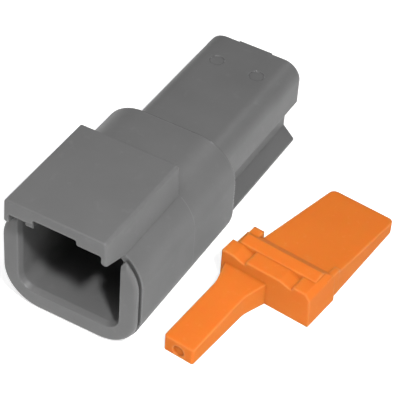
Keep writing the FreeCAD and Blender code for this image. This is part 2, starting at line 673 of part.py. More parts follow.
# A locking finger stands in its window between the wedge slot and each bore
finger_low = wedge_slot_high - finger_hang
finger_top = finger_low + finger_thickness
finger_end = front_wall_back + finger_length
window_half = finger_width / 2 + finger_gap
for side, middle in (("left", -contact_x), ("right", contact_x)):
    window = [
        corner(middle - window_half, wedge_slot_low + window_rise),
        corner(middle + window_half, wedge_slot_low + window_rise),
        corner(middle + window_half, contact_height),
        corner(middle - window_half, contact_height),
    ]
    cut_back(housing, "finger_window_" + side, front_wall_back, finger_end + finger_gap, outline, window)
    finger = [
        corner(front_wall_back - finger_gap, finger_low),
        corner(finger_end, finger_low),
        corner(finger_end, finger_top + finger_nib),
        corner(finger_end - finger_nib_length, finger_top + finger_nib),
        corner(finger_end - finger_nib_length - finger_nib_length, finger_top),
        corner(front_wall_back - finger_gap, finger_top),
    ]
    pad_side(housing, "finger_" + side, middle - finger_width / 2, middle + finger_width / 2, finger)

ejector_y = rear_end - ejector_inset
ejector_centres = ((-ejector_spread / 2, ejector_y), (ejector_spread / 2, ejector_y))
cut_down(housing, "ejector_marks", rear_top, ejector_depth, circles, ejector_centres, ejector_radius)

# Wire seal
wire_seal = new_body("wire_seal")
seal_back = rear_end - seal_end_gap
rib_half = pocket_half - seal_rib_clearance
rib_low = pocket_low + seal_rib_clearance
rib_high = pocket_high - seal_rib_clearance
rib_round = seal_pocket_round - seal_rib_clearance
core_round = rib_round - seal_rib_depth
core_corners = slab(
    rib_half - seal_rib_depth, rib_low + seal_rib_depth, rib_high - seal_rib_depth, core_round, core_round
)
pad_back(wire_seal, "core", seal_pocket_front, seal_back, outline, core_corners)
seal_rib_corners = slab(rib_half, rib_low, rib_high, rib_round, rib_round)
for number in range(3):
    rib_start = seal_pocket_front + seal_rib_length + seal_rib_step * number
    rib_end = rib_start + seal_rib_length
    pad_back(wire_seal, f"outer_rib_{number + 1}", rib_start, rib_end, outline, seal_rib_corners)
cut_back(wire_seal, "wire_holes", seal_pocket_front, seal_back, circles, contact_centres, wire_hole_radius)
relief_radius = wire_hole_radius + wire_hole_relief
for number in range(2):
    relief_end = seal_back - wire_hole_mouth - (wire_hole_valley + wire_hole_lip) * number
    cut_back(
        wire_seal,
        f"hole_valley_{number + 1}",
        relief_end - wire_hole_valley,
        relief_end,
        circles,
        contact_centres,
        relief_radius,
    )


def pin_contact(name, across):
    """Turned contact, drawn about its own axis with the pin's tip at its own origin."""
    body = new_body(name)
    shoulder = web_front + front_wall - (rim_front + pin_setback)
    shank_start = shoulder - front_wall - boss_length - shank_showing
    collar_end = shoulder + collar_length
    waist_end = collar_end + waist_length
    barrel_end = waist_end + barrel_length
    profile = [
        corner(0, 0),
        corner(pin_tip_radius, 0),
        corner(pin_radius, pin_tip_length),
        corner(pin_radius, shank_start),
        corner(shank_radius, shank_start),
        corner(shank_radius, shoulder),
        corner(collar_radius, shoulder),
        corner(collar_radius, collar_end - barrel_bevel),
        corner(collar_radius - barrel_bevel, collar_end),
        corner(waist_radius, collar_end),
        corner(waist_radius, waist_end),
        corner(barrel_radius - barrel_bevel, waist_end),
        corner(barrel_radius, waist_end + barrel_bevel),
        corner(barrel_radius, barrel_end),
        corner(barrel_hole_radius, barrel_end),
        corner(barrel_hole_radius, barrel_end - barrel_hole_depth),
        corner(0, barrel_end - barrel_hole_depth - barrel_hole_point),
    ]
    sketch = outline(sketch_on(body, "XY_Plane", name + "_profile", 0), profile)
    turned = body.newObject("PartDesign::Revolution", name + "_turned")
    turned.Profile = sketch
    turned.ReferenceAxis = (sketch, ["V_Axis"])
    turned.Angle = 360
    sketch.Visibility = False
    finish_feature(body, turned, 0.0, True)
    peep_y = barrel_end - barrel_hole_depth + peep_setback
    cut_down(body, name + "_peep", barrel_radius, barrel_radius, circles, ((0, peep_y),), peep_radius)
    body.Placement = Placement(
        Vector(across.number, (rim_front + pin_setback).number, contact_height.number), Rotation()
    )
    body.setExpression("Placement.Base.x", across.formula)
    body.setExpression("Placement.Base.y", (rim_front + pin_setback).formula)
    body.setExpression("Placement.Base.z", contact_height.formula)
    return body


pin_contact("pin_contact_left", -contact_x)
pin_contact("pin_contact_right", contact_x)

# Wedge lock, drawn in its own frame: origin under the middle of the block's front, tongue towards -Y
wedge_lock = new_body("wedge_lock")
bevel_low = block_height - block_bevel_rise
block_middle = block_depth / 2
block_corners = [
    corner(-block_left, 0, block_foot_round),
    corner(block_right, 0, block_foot_round),
    corner(block_right - block_right_draft, bevel_low),
    corner(block_right - block_right_draft - block_bevel_run, block_height),
    corner(-block_left, block_height),
]
pad_back(wedge_lock, "block", as_size(0), block_depth, outline, block_corners)
notch_corners = [
    corner(-block_left - sink, notch_low),
    corner(-block_left + notch_width, notch_low),
    corner(-block_left + notch_width, block_height + sink),
    corner(-block_left - sink, block_height + sink),
]
cut_back(wedge_lock, "left_notch", crown_front, block_depth, outline, notch_corners)
crest_height = block_height + crown_rise
crown_corners = [
    corner(crown_front, notch_low),
    corner(block_depth, notch_low),
    corner(block_depth, crest_height),
    corner(crown_crest, crest_height),
    corner(crown_front, block_height + crown_step),
]
crown_left = -block_left + notch_width + crown_inset
crown_right = block_right - block_right_draft - block_bevel_run - crown_inset
pad_side(wedge_lock, "crown", crown_left, crown_right, crown_corners)
crown_slope = [
    corner(crown_crest, crest_height),
    corner(block_depth, plate_root_top),
    corner(block_depth + sink, plate_root_top),
    corner(block_depth + sink, crest_height + sink),
    corner(crown_crest, crest_height + sink),
]
cut_side(wedge_lock, "crown_slope", -block_left, block_right, crown_slope)
for side, middle in (("left", -contact_x), ("right", contact_x)):
    saddle_right = middle + saddle_shift
    saddle_left = saddle_right - saddle_floor - saddle_slope
    saddle = [
        corner(saddle_right - saddle_floor, block_height - saddle_depth),
        corner(saddle_right, block_height - saddle_depth),
        corner(saddle_right, block_height + sink),
        corner(saddle_left, block_height + sink),
        corner(saddle_left, block_height),
    ]
    cut_back(wedge_lock, "saddle_" + side, as_size(0), crown_front, outline, saddle)

tongue_half = tongue_width / 2
root_half = tongue_half + tongue_flare
tongue_corners = [
    corner(-tongue_offset - tongue_half, -tongue_length, tongue_tip_bevel),
    corner(-tongue_offset + tongue_half, -tongue_length, tongue_tip_bevel),
    corner(-tongue_offset + tongue_half, -tongue_flare_length, tongue_flare_round),
    corner(-tongue_offset + root_half, 0),
    corner(-tongue_offset + root_half, block_middle),
    corner(-tongue_offset - root_half, block_middle),
    corner(-tongue_offset - root_half, 0),
    corner(-tongue_offset - tongue_half, -tongue_flare_length, tongue_flare_round),
]
pad_up(wedge_lock, "tongue", as_size(0), tongue_root_thick, tongue_corners)
tongue_slope = [
    corner(-tongue_length - sink, tongue_tip_thick),
    corner(-tongue_length, tongue_tip_thick),
    corner(0, tongue_root_thick),
    corner(0, tongue_root_thick + sink),
    corner(-tongue_length - sink, tongue_root_thick + sink),
]
cut_side(wedge_lock, "tongue_top", -block_left, block_right, tongue_slope)
dimple_centres = ((-tongue_offset, dimple_height),)
dimple_end = -tongue_length + dimple_depth
cut_back(wedge_lock, "tip_dimple", -tongue_length, dimple_end, circles, dimple_centres, dimple_radius)

plate_corners = [
    corner(-plate_left, block_middle),
    corner(plate_right, block_middle),
    corner(plate_right, block_depth),
    corner(plate_right - plate_right_draft, plate_end, plate_corner_round),
    corner(-plate_left + plate_left_draft, plate_end, plate_corner_round),
    corner(-plate_left, block_depth),
]
pad_up(wedge_lock, "plate", plate_root_low, plate_root_top, plate_corners)
plate_slope = [
    corner(block_depth, plate_root_top),
    corner(plate_end, plate_end_top),
    corner(plate_end + sink, plate_end_top),
    corner(plate_end + sink, plate_root_top + sink),
    corner(block_depth, plate_root_top + sink),
]
cut_side(wedge_lock, "plate_top", -block_left, block_right, plate_slope)
plate_under = [
    corner(block_depth, plate_root_low),
    corner(block_depth, 0),
    corner(plate_end + sink, 0),
    corner(plate_end + sink, plate_end_low),
    corner(plate_end, plate_end_low),
]
cut_side(wedge_lock, "plate_underside", -block_left, block_right, plate_under)
ear_left = -block_left + left_ear_inset
left_ear = [
    corner(ear_left, ear_foot),
    corner(ear_left + left_ear_width, ear_foot),
    corner(ear_left + left_ear_width, left_ear_height),
    corner(ear_left, left_ear_height),
]
pad_back(wedge_lock, "ear_left", crown_crest, block_depth + left_ear_length, outline, left_ear)
ear_right = block_right - block_right_draft
right_ear = [
    corner(ear_right - right_ear_width, ear_foot),
    corner(ear_right, ear_foot),
    corner(ear_right, right_ear_height),
    corner(ear_right - right_ear_width, right_ear_height),
]
pad_back(wedge_lock, "ear_right", crown_crest, block_depth + right_ear_length, outline, right_ear)
wedge_y = rim_front + wedge_setback
turn = Rotation(Vector(0, 0, 1), -wedge_turn.number)
wedge_lock.Placement = Placement(Vector(wedge_x.number, wedge_y.number, 0), turn)
wedge_lock.setExpression("Placement.Base.x", wedge_x.formula)
wedge_lock.setExpression("Placement.Base.y", wedge_y.formula)
wedge_lock.setExpression("Placement.Rotation.Angle", f"-1 deg * {wedge_turn.formula}")

doc.recompute()
for item in doc.Objects:
    if "Invalid" in item.State or "Error" in item.State:
        raise RuntimeError(f"{item.Label} is in state {item.State}")
for body in doc.Objects:
    if body.TypeId != "PartDesign::Body":
        continue
    if body.Shape.isNull() or not body.Shape.isValid() or len(body.Shape.Solids) != 1:
        raise RuntimeError(f"{body.Label} is not one sound solid")
    body.Shape.exportStep(f"parts/{body.Label}.step")
    print(body.Label, round(body.Shape.Volume, 2), body.Shape.BoundBox)
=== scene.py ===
"""Studio picture of a sealed two-way receptacle housing with its wedge lock taken out."""

import logging
import math
from dataclasses import dataclass, field
from enum import Enum

import bmesh
import bpy
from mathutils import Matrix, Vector

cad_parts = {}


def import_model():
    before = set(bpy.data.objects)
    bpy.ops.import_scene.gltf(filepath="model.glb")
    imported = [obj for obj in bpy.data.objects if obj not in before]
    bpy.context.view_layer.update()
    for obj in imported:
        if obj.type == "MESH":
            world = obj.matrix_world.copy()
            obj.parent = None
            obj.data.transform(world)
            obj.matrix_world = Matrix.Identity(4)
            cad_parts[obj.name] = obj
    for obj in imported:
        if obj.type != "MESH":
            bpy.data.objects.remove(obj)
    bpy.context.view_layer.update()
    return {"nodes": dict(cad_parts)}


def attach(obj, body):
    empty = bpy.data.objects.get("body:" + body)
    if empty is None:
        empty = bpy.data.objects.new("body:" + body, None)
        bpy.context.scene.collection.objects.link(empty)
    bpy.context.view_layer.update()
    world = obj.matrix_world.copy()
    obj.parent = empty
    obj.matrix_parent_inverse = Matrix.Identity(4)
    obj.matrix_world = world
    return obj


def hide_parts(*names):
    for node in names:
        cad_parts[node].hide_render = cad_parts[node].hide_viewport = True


LOG = logging.getLogger("sealed_receptacle")
MM = 0.001
WHITE = (1.0, 1.0, 1.0, 1.0)


class Piece(Enum):
    """The pieces of the object, named as their CAD nodes are."""

    HOUSING = "housing"
    WIRE_SEAL = "wire_seal"
    WEDGE_LOCK = "wedge_lock"
    PIN_LEFT = "pin_contact_left"
    PIN_RIGHT = "pin_contact_right"


class Slot(Enum):
    """The record's material slots."""

    GREY = "grey_thermoplastic"
    ORANGE = "orange_thermoplastic"
    SILICONE = "silicone"
    NICKEL = "nickel_plated_contact"


def linear(colour: str) -> tuple[float, float, float, float]:
    """Turn an sRGB hex colour into linear light.

    Args:
        colour: The colour as "#rrggbb".

    Returns:
        Red, green, blue and an alpha of 1.
    """
    channels = []
    for start in (1, 3, 5):
        value = int(colour[start : start + 2], 16) / 255
        channels.append(value / 12.92 if value <= 0.04045 else ((value + 0.055) / 1.055) ** 2.4)
    return channels[0], channels[1], channels[2], 1.0


def towards(azimuth_deg: float, elevation_deg: float) -> Vector:
    """Turn two angles into a direction.

    Args:
        azimuth_deg: Angle round the object, from its front (-Y) to its right side (+X).
        elevation_deg: Angle above the floor.

    Returns:
        The unit vector from the object to what stands there.
    """
    azimuth = math.radians(azimuth_deg)
    elevation = math.radians(elevation_deg)
    return Vector(
        (
            math.sin(azimuth) * math.cos(elevation),
            -math.cos(azimuth) * math.cos(elevation),
            math.sin(elevation),
        )
    )


def add_node(
    tree: bpy.types.NodeTree,
    kind: str,
    settings: dict[str | int, object] | None = None,
    links: dict[str | int, bpy.types.NodeSocket] | None = None,
) -> bpy.types.Node:
    """Add one node with its settings and links.

    Args:
        tree: The node tree that gets the node.
        kind: The node's type name.
        settings: Properties by name, or values of unlinked inputs by name or number.
        links: Output sockets that feed the inputs, by input name or number.

    Returns:
        The new node.
    """
    node = tree.nodes.new(kind)
    for key, value in (settings or {}).items():
        if isinstance(key, str) and hasattr(node, key):
            setattr(node, key, value)
        else:
            node.inputs[key].default_value = value
    for key, socket in (links or {}).items():
        tree.links.new(socket, node.inputs[key])
    return node


def new_material(name: str) -> tuple[bpy.types.Material, bpy.types.NodeTree]:
    """Make a material with an empty node tree.

    Args:
        name: The material's name.

    Returns:
        The material and its tree.
    """
    material = bpy.data.materials.new(name)
    material.use_nodes = True
    material.node_tree.nodes.clear()
    return material, material.node_tree


@dataclass(frozen=True)
class WitnessLine:
    """Fine ridge left where two inserts of the mould meet, square to the Y axis."""

    y_mm: float
    beyond_x_mm: float
    width_mm: float = 0.12

    def build(self, tree: bpy.types.NodeTree, place: bpy.types.Node) -> bpy.types.NodeSocket:
        """Make the ridge's mask.

        Args:
            tree: The material's tree.
            place: Its Texture Coordinate node.

        Returns:
            1 on the ridge, 0 away from it.
        """
        axes = add_node(tree, "ShaderNodeSeparateXYZ", None, {"Vector": place.outputs["Object"]})
        near = add_node(
            tree,
            "ShaderNodeMath",
            {"operation": "COMPARE", 1: self.y_mm * MM, 2: self.width_mm * MM / 2},
            {0: axes.outputs["Y"]},
        )
        aside = add_node(tree, "ShaderNodeMath", {"operation": "ABSOLUTE"}, {0: axes.outputs["X"]})
        outside = add_node(
            tree,
            "ShaderNodeMath",
            {"operation": "GREATER_THAN", 1: self.beyond_x_mm * MM},
            {0: aside.outputs["Value"]},
        )
        ridge = add_node(
            tree,
            "ShaderNodeMath",
            {"operation": "MULTIPLY"},
            {0: near.outputs["Value"], 1: outside.outputs["Value"]},
        )
        return ridge.outputs["Value"]


@dataclass(frozen=True)
class MouldedThermoplastic:
    """Injection-moulded thermoplastic off a lightly spark-eroded tool."""

    name: str
    colour: str
    cloud_colour: str
    # The pale colour stands for rub marks, and along the edges partly for wear and partly for a
    # painted highlight
    scuff_and_highlight_colour: str
    # The deep colour is painted shade in the inner corners
    corner_shade_colour: str
    roughness: float
    roughness_swing: float = 0.06
    ior: float = 1.52
    specular: float = 0.5
    glow_through: float = 0.0
    glow_depth_mm: tuple[float, float, float] = (1.0, 0.4, 0.15)
    noise_falloff: float = 0.55
    cloud_mm: float = 6.0
    cloud_detail: float = 3.0
    scuff_mm: float = 1.6
    scuff_detail: float = 4.0
    scuff_from: float = 0.6
    scuff_full: float = 0.78
    scuff_amount: float = 0.55
    grain_mm: float = 0.3
    grain_detail: float = 2.0
    grain_height_mm: float = 0.008
    grain_strength: float = 0.6
    edge_round_mm: float = 0.25
    edge_samples: int = 6
    # These set the edge mask: real polish in the roughness, and wear plus a painted highlight in
    # the colour
    wear_highlight_reach_mm: float = 0.4
    wear_highlight_samples: int = 8
    wear_highlight_from: float = 0.92
    wear_highlight_full: float = 0.6
    wear_highlight_amount: float = 0.8
    wear_polish: float = 0.35
    # These set the painted shade in the inner corners
    corner_shade_reach_mm: float = 0.6
    corner_shade_samples: int = 6
    corner_shade_full: float = 0.3
    corner_shade_amount: float = 0.8
    witness: WitnessLine | None = None

    def build(self) -> bpy.types.Material:
        """Make the material: a dull satin skin with flow clouds, rub marks, softened edges painted
        paler partly as wear and partly as a painted highlight, and painted shade in the inner
        corners.

        Returns:
            The material.
        """
        material, tree = new_material(self.name)
        place = add_node(tree, "ShaderNodeTexCoord")
        clouds, marks, grain = (
            add_node(
                tree,
                "ShaderNodeTexNoise",
                {"Scale": 1 / (size_mm * MM), "Detail": detail, "Roughness": self.noise_falloff},
                {"Vector": place.outputs["Object"]},
            ).outputs["Fac"]
            for size_mm, detail in (
                (self.cloud_mm, self.cloud_detail),
                (self.scuff_mm, self.scuff_detail),
                (self.grain_mm, self.grain_detail),
            )
        )
        worn_and_highlit = self.wear_and_highlight_mask(tree)
        # The melt's flow leaves faint, broad clouds, and handling rubs small pale marks into the
        # skin. The edges are painted paler, partly as wear and partly as a painted highlight
        layers = [
            (clouds, self.cloud_colour),
            (self.rub_mask(tree, marks), self.scuff_and_highlight_colour),
            (worn_and_highlit, self.scuff_and_highlight_colour),
        ]
        if self.witness is not None:
            layers.append((self.witness.build(tree, place), self.scuff_and_highlight_colour))
        # Painted shade: the inner corners get a darker colour where shade falls
        layers.append((self.painted_corner_shade(tree), self.corner_shade_colour))
        # The tool's fine grain breaks the gloss into a satin, and handling polishes the edges
        satin = add_node(
            tree,
            "ShaderNodeMapRange",
            {
                "To Min": self.roughness - self.roughness_swing,
                "To Max": self.roughness + self.roughness_swing,
            },
            {"Value": clouds},
        )
        polished = add_node(
            tree,
            "ShaderNodeMath",
            {"operation": "MULTIPLY_ADD", 1: -self.wear_polish},
            {0: worn_and_highlit, 2: satin.outputs["Result"]},
        )
        # The camera sees each sharp edge with the small round that a moulding has
        soft_edge = add_node(
            tree,
            "ShaderNodeBevel",
            {"samples": self.edge_samples, "Radius": self.edge_round_mm * MM},
        )
        # The real grain is finer than a pixel, and is drawn as coarse as it needs to show
        bump = add_node(
            tree,
            "ShaderNodeBump",
            {"Strength": self.grain_strength, "Distance": self.grain_height_mm * MM},
            {"Height": grain, "Normal": soft_edge.outputs["Normal"]},
        )
        skin = add_node(
            tree,
            "ShaderNodeBsdfPrincipled",
            {
                "IOR": self.ior,
                "Specular IOR Level": self.specular,
                "Subsurface Weight": self.glow_through,
                "Subsurface Radius": self.glow_depth_mm,
                "Subsurface Scale": MM,
            },
            {
                "Base Color": self.lay_colours(tree, layers),
                "Roughness": polished.outputs["Value"],
                "Normal": bump.outputs["Normal"],
            },
        )
        add_node(tree, "ShaderNodeOutputMaterial", None, {"Surface": skin.outputs["BSDF"]})
        return material

    def lay_colours(
        self, tree: bpy.types.NodeTree, layers: list[tuple[bpy.types.NodeSocket, str]]
    ) -> bpy.types.NodeSocket:
        """Lay colours over the plain one, the later over the earlier.

        Args:
            tree: The material's tree.
            layers: The mask and the hex colour of each layer.

        Returns:
            The finished colour.
        """
        below = None
        for mask, shade in layers:
            layer = add_node(
                tree, "ShaderNodeMix", {"data_type": "RGBA", 7: linear(shade)}, {0: mask}
            )
            if below is None:
                layer.inputs[6].default_value = linear(self.colour)
            else:
                tree.links.new(below, layer.inputs[6])
            below = layer.outputs[2]
        return below

    def rub_mask(
        self, tree: bpy.types.NodeTree, marks: bpy.types.NodeSocket
    ) -> bpy.types.NodeSocket:
        """Make a mask of the small pale marks that handling in the box rubs into the skin.

        Args:
            tree: The material's tree.
            marks: The noise that says where they are.

        Returns:
            The mask.
        """
        mask = add_node(
            tree,
            "ShaderNodeMapRange",
            {"From Min": self.scuff_from, "From Max": self.scuff_full, "To Max": self.scuff_amount},
            {"Value": marks},
        )
        return mask.outputs["Result"]

    def wear_and_highlight_mask(self, tree: bpy.types.NodeTree) -> bpy.types.NodeSocket:
        """Make a mask that grows on the outer edges and is 0 on the flats: handling polishes the
        edges, and their paler colour is partly wear and partly a painted highlight.

        Args:
            tree: The material's tree.

        Returns:
            The mask.
        """
        thin = add_node(
            tree,
            "ShaderNodeAmbientOcclusion",
            {
                "samples": self.wear_highlight_samples,
                "inside": True,
                "only_local": True,
                "Distance": self.wear_highlight_reach_mm * MM,
            },
        )
        mask = add_node(
            tree,
            "ShaderNodeMapRange",
            {"From Min": self.wear_highlight_from, "From Max": self.wear_highlight_full, "To Max": self.wear_highlight_amount},
            {"Value": thin.outputs["AO"]},
        )
        return mask.outputs["Result"]

    def painted_corner_shade(self, tree: bpy.types.NodeTree) -> bpy.types.NodeSocket:
        """Make a mask of painted shade that grows into the inner corners.

        Args:
            tree: The material's tree.

        Returns:
            The mask.
        """
        open_air = add_node(
            tree,
            "ShaderNodeAmbientOcclusion",
            {
                "samples": self.corner_shade_samples,
                "only_local": True,
                "Distance": self.corner_shade_reach_mm * MM,
            },
        )
        mask = add_node(
            tree,
            "ShaderNodeMapRange",
            {"From Min": 1.0, "From Max": self.corner_shade_full, "To Max": self.corner_shade_amount},
            {"Value": open_air.outputs["AO"]},
        )
        return mask.outputs["Result"]


@dataclass(frozen=True)
class MouldedSilicone:
    """Compression-moulded liquid silicone rubber."""

    name: str = "liquid silicone rubber, moulded"
    colour: str = "#a84a33"
    roughness: float = 0.62
    ior: float = 1.41
    glow_through: float = 0.08
    glow_depth_mm: float = 0.6

    def build(self) -> bpy.types.Material:
        """Make the material: a soft, slightly waxy brick red.

        Returns:
            The material.
        """
        material, tree = new_material(self.name)
        # A little light passes through the rubber, which takes the hardness off its edges
        skin = add_node(
            tree,
            "ShaderNodeBsdfPrincipled",
            {
                "Base Color": linear(self.colour),
                "Roughness": self.roughness,
                "IOR": self.ior,
                "Subsurface Weight": self.glow_through,
                "Subsurface Scale": self.glow_depth_mm * MM,
            },
        )
        add_node(tree, "ShaderNodeOutputMaterial", None, {"Surface": skin.outputs["BSDF"]})
        return material


@dataclass(frozen=True)
class NickelPlate:
    """Turned copper alloy with a thin satin nickel plate."""

    name: str = "nickel plate on turned copper alloy"
    colour: str = "#c9c3b8"
    roughness: float = 0.28
    ring_mm: float = 0.754
    ring_wobble: float = 0.4
    ring_height_mm: float = 0.002
    ring_strength: float = 0.25
    wave_radians: float = 20.0

    def build(self) -> bpy.types.Material:
        """Make the material: a warm white metal with fine turning rings round its axis.

        Returns:
            The material.
        """
        material, tree = new_material(self.name)
        place = add_node(tree, "ShaderNodeTexCoord")
        # A lathe's rings are finer than this, and are drawn as coarse as they need to show. The
        # texture runs through wave_radians in each of its units, and one ring takes tau of them
        rings = add_node(
            tree,
            "ShaderNodeTexWave",
            {
                "bands_direction": "Y",
                "Scale": math.tau / (self.wave_radians * self.ring_mm * MM),
                "Distortion": self.ring_wobble,
            },
            {"Vector": place.outputs["Object"]},
        )
        bump = add_node(
            tree,
            "ShaderNodeBump",
            {"Strength": self.ring_strength, "Distance": self.ring_height_mm * MM},
            {"Height": rings.outputs["Fac"]},
        )
        skin = add_node(
            tree,
            "ShaderNodeBsdfPrincipled",
            {"Base Color": linear(self.colour), "Metallic": 1.0, "Roughness": self.roughness},
            {"Normal": bump.outputs["Normal"]},
        )
        add_node(tree, "ShaderNodeOutputMaterial", None, {"Surface": skin.outputs["BSDF"]})
        return material


@dataclass(frozen=True)
class PaperSweep:
    """Matt photographic background paper, shown white to the camera and in reflections."""

    name: str = "matt background paper"
    colour: str = "#d4d4d4"
    glow: float = 0.75
    near_mm: float = 60.0
    far_mm: float = 260.0
    bounce: float = 0.35
    bounce_near_mm: float = 20.0
    bounce_far_mm: float = 60.0

    def build(self) -> bpy.types.Material:
        """Make the material: pale paper whose own white shows wherever no shadow falls.

        Returns:
            The material.
        """
        material, tree = new_material(self.name)
        paper = add_node(tree, "ShaderNodeBsdfDiffuse", {"Color": linear(self.colour)})
        place = add_node(tree, "ShaderNodeTexCoord")
        away = add_node(
            tree, "ShaderNodeVectorMath", {"operation": "LENGTH"}, {0: place.outputs["Object"]}
        )
        # Near the object the glow leaves room for its shadow, and far out it is plain white
        shown = add_node(
            tree,
            "ShaderNodeMapRange",
            {
                "From Min": self.near_mm * MM,
                "From Max": self.far_mm * MM,
                "To Min": self.glow,
                "To Max": 1.0,
            },
            {"Value": away.outputs["Value"]},
        )
        # The paper close by sends some light up at the object's lower sides
        sent = add_node(
            tree,
            "ShaderNodeMapRange",
            {
                "From Min": self.bounce_near_mm * MM,
                "From Max": self.bounce_far_mm * MM,
                "To Min": self.bounce,
                "To Max": 0.0,
            },
            {"Value": away.outputs["Value"]},
        )
        rays = add_node(tree, "ShaderNodeLightPath")
        seen = add_node(
            tree,
            "ShaderNodeMath",
            {"operation": "MAXIMUM"},
            {0: rays.outputs["Is Camera Ray"], 1: rays.outputs["Is Glossy Ray"]},
        )
        seen_through = add_node(
            tree,
            "ShaderNodeMath",
            {"operation": "MAXIMUM"},
            {0: seen.outputs["Value"], 1: rays.outputs["Is Transmission Ray"]},
        )
        strength = add_node(
            tree,
            "ShaderNodeMapRange",
            None,
            {
                "Value": seen_through.outputs["Value"],
                "To Min": sent.outputs["Result"],
                "To Max": shown.outputs["Result"],
            },
        )
        glow = add_node(
            tree, "ShaderNodeEmission", {"Color": WHITE}, {"Strength": strength.outputs["Result"]}
        )
        both = add_node(
            tree,
            "ShaderNodeAddShader",
            None,
            {0: paper.outputs["BSDF"], 1: glow.outputs["Emission"]},
        )
        add_node(tree, "ShaderNodeOutputMaterial", None, {"Surface": both.outputs["Shader"]})
        return material


def link(mesh: bpy.types.Mesh, name: str, material: bpy.types.Material) -> bpy.types.Object:
    """Put a mesh in the scene with its material.

    Args:
        mesh: The mesh, already in its place.
        name: The object's name.
        material: The material of the whole piece.

    Returns:
        The new object, at the origin.
    """
    mesh.materials.clear()
    mesh.materials.append(material)
    piece = bpy.data.objects.new(name, mesh)
    bpy.context.scene.collection.objects.link(piece)
    return piece


@dataclass
class SmoothedMoulding:
    """A moulded piece whose CAD solid is shown with smooth curves and crisp moulded edges."""

    node: Piece
    slot: Slot
    finish: MouldedThermoplastic | MouldedSilicone | NickelPlate
    tints_others: bool = True
    crease_deg: float = 16.0
    weld_mm: float = 0.0005

    def build(self, nodes: dict[str, bpy.types.Object]) -> None:
        """Weld a copy of the CAD node, which stands for it, and shade it smooth between creases.

        Args:
            nodes: The CAD nodes by name.
        """
        mesh = nodes[self.node.value].data.copy()
        shell = bmesh.new()
        shell.from_mesh(mesh)
        bmesh.ops.remove_doubles(shell, verts=shell.verts, dist=self.weld_mm * MM)
        self.refine(shell)
        crease = math.radians(self.crease_deg)
        for face in shell.faces:
            face.smooth = True
        for edge in shell.edges:
            edge.smooth = len(edge.link_faces) == 2 and edge.calc_face_angle(0.0) < crease
        shell.to_mesh(mesh)
        shell.free()
        piece = link(mesh, self.node.value + "_moulding", self.finish.build())
        piece.visible_glossy = piece.visible_diffuse = self.tints_others
        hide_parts(self.node.value)
        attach(piece, "root")
        LOG.info("%s: %d faces", piece.name, len(mesh.polygons))

    def refine(self, shell: bmesh.types.BMesh) -> None:
        """Add what the solid leaves out; a plain piece needs nothing."""


@dataclass
class HousingMoulding(SmoothedMoulding):
    """The housing, with the tips of its hood's side walls rounded all round."""

    tip_round_mm: float = 0.24
    tip_segments: int = 4
    tip_merge_mm: float = 0.1
    wall_inner_mm: float = 6.2
    wall_back_mm: float = -11.1
    wall_front_mm: float = -11.2
    tip_low_mm: float = 14.5
    tip_high_mm: float = 16.4
    sharp_deg: float = 40.0

    def refine(self, shell: bmesh.types.BMesh) -> None:
        """Round the lower edges of the hood's two side walls.

        Args:
            shell: The housing's merged mesh.
        """
        # A dict keeps the vertices in the mesh's own order, so each run merges the same ones
        short = dict.fromkeys(
            vert for edge in shell.edges if self.is_tip_edge(edge) for vert in edge.verts
        )
        bmesh.ops.remove_doubles(shell, verts=list(short), dist=self.tip_merge_mm * MM)
        bmesh.ops.bevel(
            shell,
            geom=[edge for edge in shell.edges if self.is_tip_edge(edge)],
            offset=self.tip_round_mm * MM,
            offset_type="OFFSET",
            segments=self.tip_segments,
            profile=0.5,
            affect="EDGES",
            clamp_overlap=False,
            material=-1,
        )
        # The rounds of neighbouring edges meet in slivers, and a second weld closes them
        bmesh.ops.remove_doubles(shell, verts=shell.verts, dist=self.weld_mm * MM)

    def is_tip_edge(self, edge: bmesh.types.BMEdge) -> bool:
        """Say whether an edge is a sharp one at the lower end of a side wall.

        Args:
            edge: An edge of the housing's mesh.

        Returns:
            True for an edge that gets rounded.
        """
        if len(edge.link_faces) != 2 or edge.calc_face_angle(0.0) < math.radians(self.sharp_deg):
            return False
        for vert in edge.verts:
            across, along, up = (value / MM for value in vert.co)
            if abs(across) < self.wall_inner_mm or along > self.wall_back_mm:
                return False
            if not self.tip_low_mm < up < self.tip_high_mm:
                return False
        return min(vert.co.y for vert in edge.verts) < self.wall_front_mm * MM


@dataclass(frozen=True)
class PhotoCamera:
    """The camera of the photograph, fitted to the housing's corners."""

    name: str = "photo_camera"
    azimuth_deg: float = 27.149
    elevation_deg: float = 42.596
    roll_deg: float = 4.311
    distance_mm: float = 218.4
    focal_px: float = 1745.4
    frame_px: float = 400.0
    sensor_mm: float = 36.0
    nearest_mm: float = 10.0
    furthest_mm: float = 10000.0
    target_mm: tuple[float, float, float] = (6.312, 8.221, 8.0)

    def build(self) -> None:
        """Make the camera and give it to the scene."""
        data = bpy.data.cameras.new(self.name)
        data.sensor_width = self.sensor_mm
        data.lens = self.sensor_mm * self.focal_px / self.frame_px
        data.clip_start = self.nearest_mm * MM
        data.clip_end = self.furthest_mm * MM
        camera = bpy.data.objects.new(self.name, data)
        azimuth = math.radians(self.azimuth_deg)
        roll = math.radians(self.roll_deg)
        level = Vector((math.cos(azimuth), math.sin(azimuth), 0.0))
        ahead = -towards(self.azimuth_deg, self.elevation_deg)
        raised = level.cross(ahead)
        turned = camera.matrix_world.to_3x3()
        turned.col[0] = level * math.cos(roll) + raised * math.sin(roll)
        turned.col[1] = raised * math.cos(roll) - level * math.sin(roll)
        turned.col[2] = -ahead
        placed = turned.to_4x4()
        placed.translation = (Vector(self.target_mm) - ahead * self.distance_mm) * MM
        camera.matrix_world = placed
        bpy.context.scene.collection.objects.link(camera)
        bpy.context.scene.camera = camera


